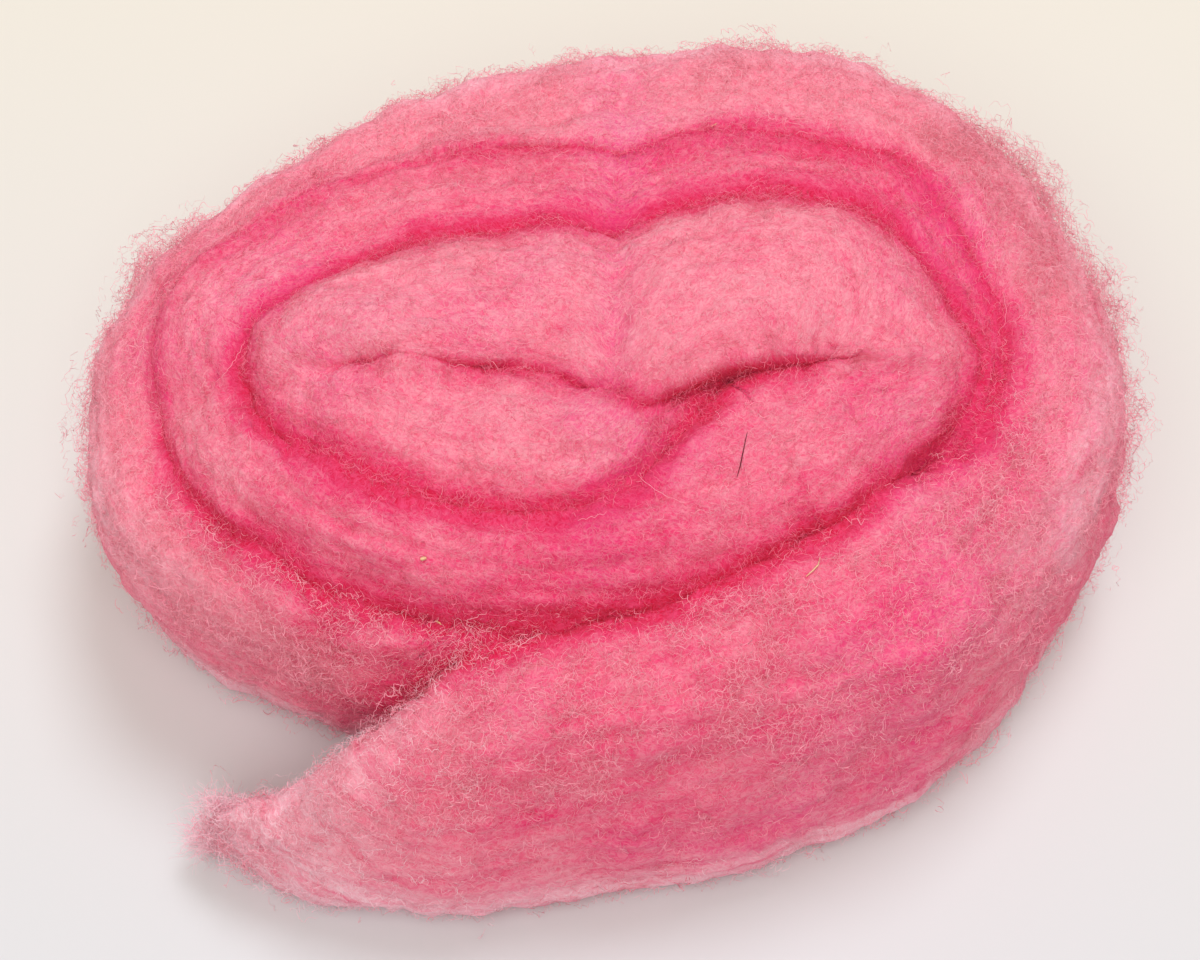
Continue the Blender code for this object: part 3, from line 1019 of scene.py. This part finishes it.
# The frizz stands in tufts, higher in some places than in others.
tufted = 0.45 + 1.3 * ease(0.5 + 0.9 * field(base, 7.0, 6.3)) * ease(0.7 + 0.9 * field(base, 18.0, 2.9))
for (x, y), (radius, more) in HIGH_TUFTS.items():
    away = np.hypot(base[..., 0] - x, base[..., 1] - y) / radius
    tufted = tufted + more * np.exp(-away ** 2) * ease((base[..., 2] - 4.0) / 10.0)
# The pale fibres follow the painted light of the strip, the half-lit ones the rest of the top.
lit_part = ease((painted_light - 0.62) / 0.3)
high = ease((grid[..., 2] - 12.0) / 14.0)
tail = ease((to_end + 45) / 40) * np.ones((1, cols))
foot = show * outer_turn * ease((14.0 - grid[..., 2]) / 10.0) * ease((grid[..., 2] - 0.5) / 2.0)
walls = outer_wall * (0.4 + high) * tufted * (1 - 0.6 * tail)
shoulder = show * outer_turn * (side > -0.2) * ease((from_crest + 16.0) / 8.0)
shoulder = shoulder * tufted * (1 - 0.5 * tail)
edges = show * (side > 0) * (at_hour < 29.5) * ease((from_crest + 9.0) / 4.0)
edges = edges * (0.4 + ease((CLOSE_REACH - near_all) / 5.0))
edges = edges + show * at_slit * ease((SLIT_REACH - slit_near) / 4.0)
# The deep fibres in creases are painted shade.
creases = show * up * (1.1 - open_part) ** 2 * (1 + (at_hour < 6.5))
torn_part = show * (1.2 * tail + 0.30 * foot)
pieces = [
    strip,
    frizz("frizz_wall", 6600, 3.0, 10, 0.90, 0.36, 1.30, 0.070, walls, lit_fibre_pink, 1.2),
    frizz("frizz_shoulder", 9600, 2.8, 10, 0.85, 0.36, 1.30, 0.070, shoulder, backlit_fibre_pink, 1.2),
    frizz("frizz_rim", 6000, 2.8, 10, 0.30, 0.30, 1.30, 0.065, show * up * lit_part, lit_fibre_pink, 0.6),
    frizz("frizz_top", 5600, 2.8, 10, 0.30, 0.30, 1.30, 0.065, show * (1.15 - lit_part), half_lit_fibre_pink, 0.5),
    frizz("frizz_edges", 7600, 2.8, 10, 0.70, 0.32, 1.30, 0.060, edges, crossing, 0.8),
    frizz("frizz_deep", 3600, 2.4, 8, 0.40, 0.26, 1.30, 0.070, creases, shaded_fibre_pink, 0.6),
    frizz("frizz_tail", 2800, 3.0, 10, 0.55, 0.36, 1.30, 0.060, torn_part, thin_lit_fibre_pink, 0.8),
    fibres("fibres_tip", 680, 5.5, 14, 0.9, 1.8, 0.060, show * tip, thin_lit_fibre_pink, 0.7, 0.35, 0.5, 1.6, ahead=True),
    fibres("fibres_long", 260, 9.0, 20, 1.0, 2.0, 0.060, show * up, lit_fibre_pink, 0.8, 0.25, 0.4, 2.2),
    caught("dark_hair", HAIRS, hair_dark),
    caught("straw_bits", STRAW, straw),
]

for piece in pieces:
    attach(piece, "root")
    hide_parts("roving")

# ---------------------------------------------------------------- camera, floor and light
bpy.context.scene.view_settings.view_transform = "Standard"
fall = math.radians(CAM_TILT)
cam = bpy.data.cameras.new("photo_camera")
cam.lens = CAM_LENS
cam.sensor_width = 36.0
cam.clip_start = 0.01
cam_obj = bpy.data.objects.new("photo_camera", cam)
cam_obj.location = (
    CAM_AT[0] * MM,
    (CAM_AT[1] - CAM_AWAY * math.cos(fall)) * MM,
    (CAM_AT[2] + CAM_AWAY * math.sin(fall)) * MM,
)
cam_obj.rotation_euler = (math.radians(90.0 - CAM_TILT), 0.0, 0.0)
bpy.context.scene.collection.objects.link(cam_obj)
bpy.context.scene.camera = cam_obj

bpy.ops.mesh.primitive_plane_add(size=4.0, location=(0, 0, 0))
floor = bpy.context.object
floor.name = "table"
floor_mat = bpy.data.materials.new("table_white")
nodes = Nodes(floor_mat)
nodes.shader.inputs["Roughness"].default_value = 0.6
nodes.shader.inputs["Specular IOR Level"].default_value = 0.2
split = nodes.add("ShaderNodeSeparateXYZ")
nodes.put(split.inputs[0], nodes.add("ShaderNodeTexCoord").outputs["Object"])
# Painted light: the floor goes from the cooler front colour to the warmer back colour.
light_towards_back = nodes.span(split.outputs["Y"], -0.10, 0.12)
nodes.put(nodes.shader.inputs["Base Color"], nodes.mix(light_towards_back, FLOOR_FRONT, FLOOR_BACK))
floor.data.materials.append(floor_mat)

world = bpy.data.worlds.new("room")
world.use_nodes = True
world.node_tree.nodes["Background"].inputs["Color"].default_value = ROOM_COLOUR
world.node_tree.nodes["Background"].inputs["Strength"].default_value = ROOM_STRENGTH
bpy.context.scene.world = world


def sun(name, away, angle, strength, colour):
    """A wide, soft light from a direction."""
    light = bpy.data.lights.new(name, "SUN")
    light.angle = math.radians(angle)
    light.energy = strength
    light.color = colour
    obj = bpy.data.objects.new(name, light)
    obj.rotation_euler = Vector(away).to_track_quat("Z", "Y").to_euler()
    bpy.context.scene.collection.objects.link(obj)


sun("key_light", (0.22, 0.50, 1.0), 24.0, 1.30, (0.95, 0.98, 1.03))
# The light from the viewer's side fills the shadow on the floor.
sun("fill_light", (-0.10, -0.55, 1.0), 60.0, 1.48, (0.98, 0.975, 0.97))
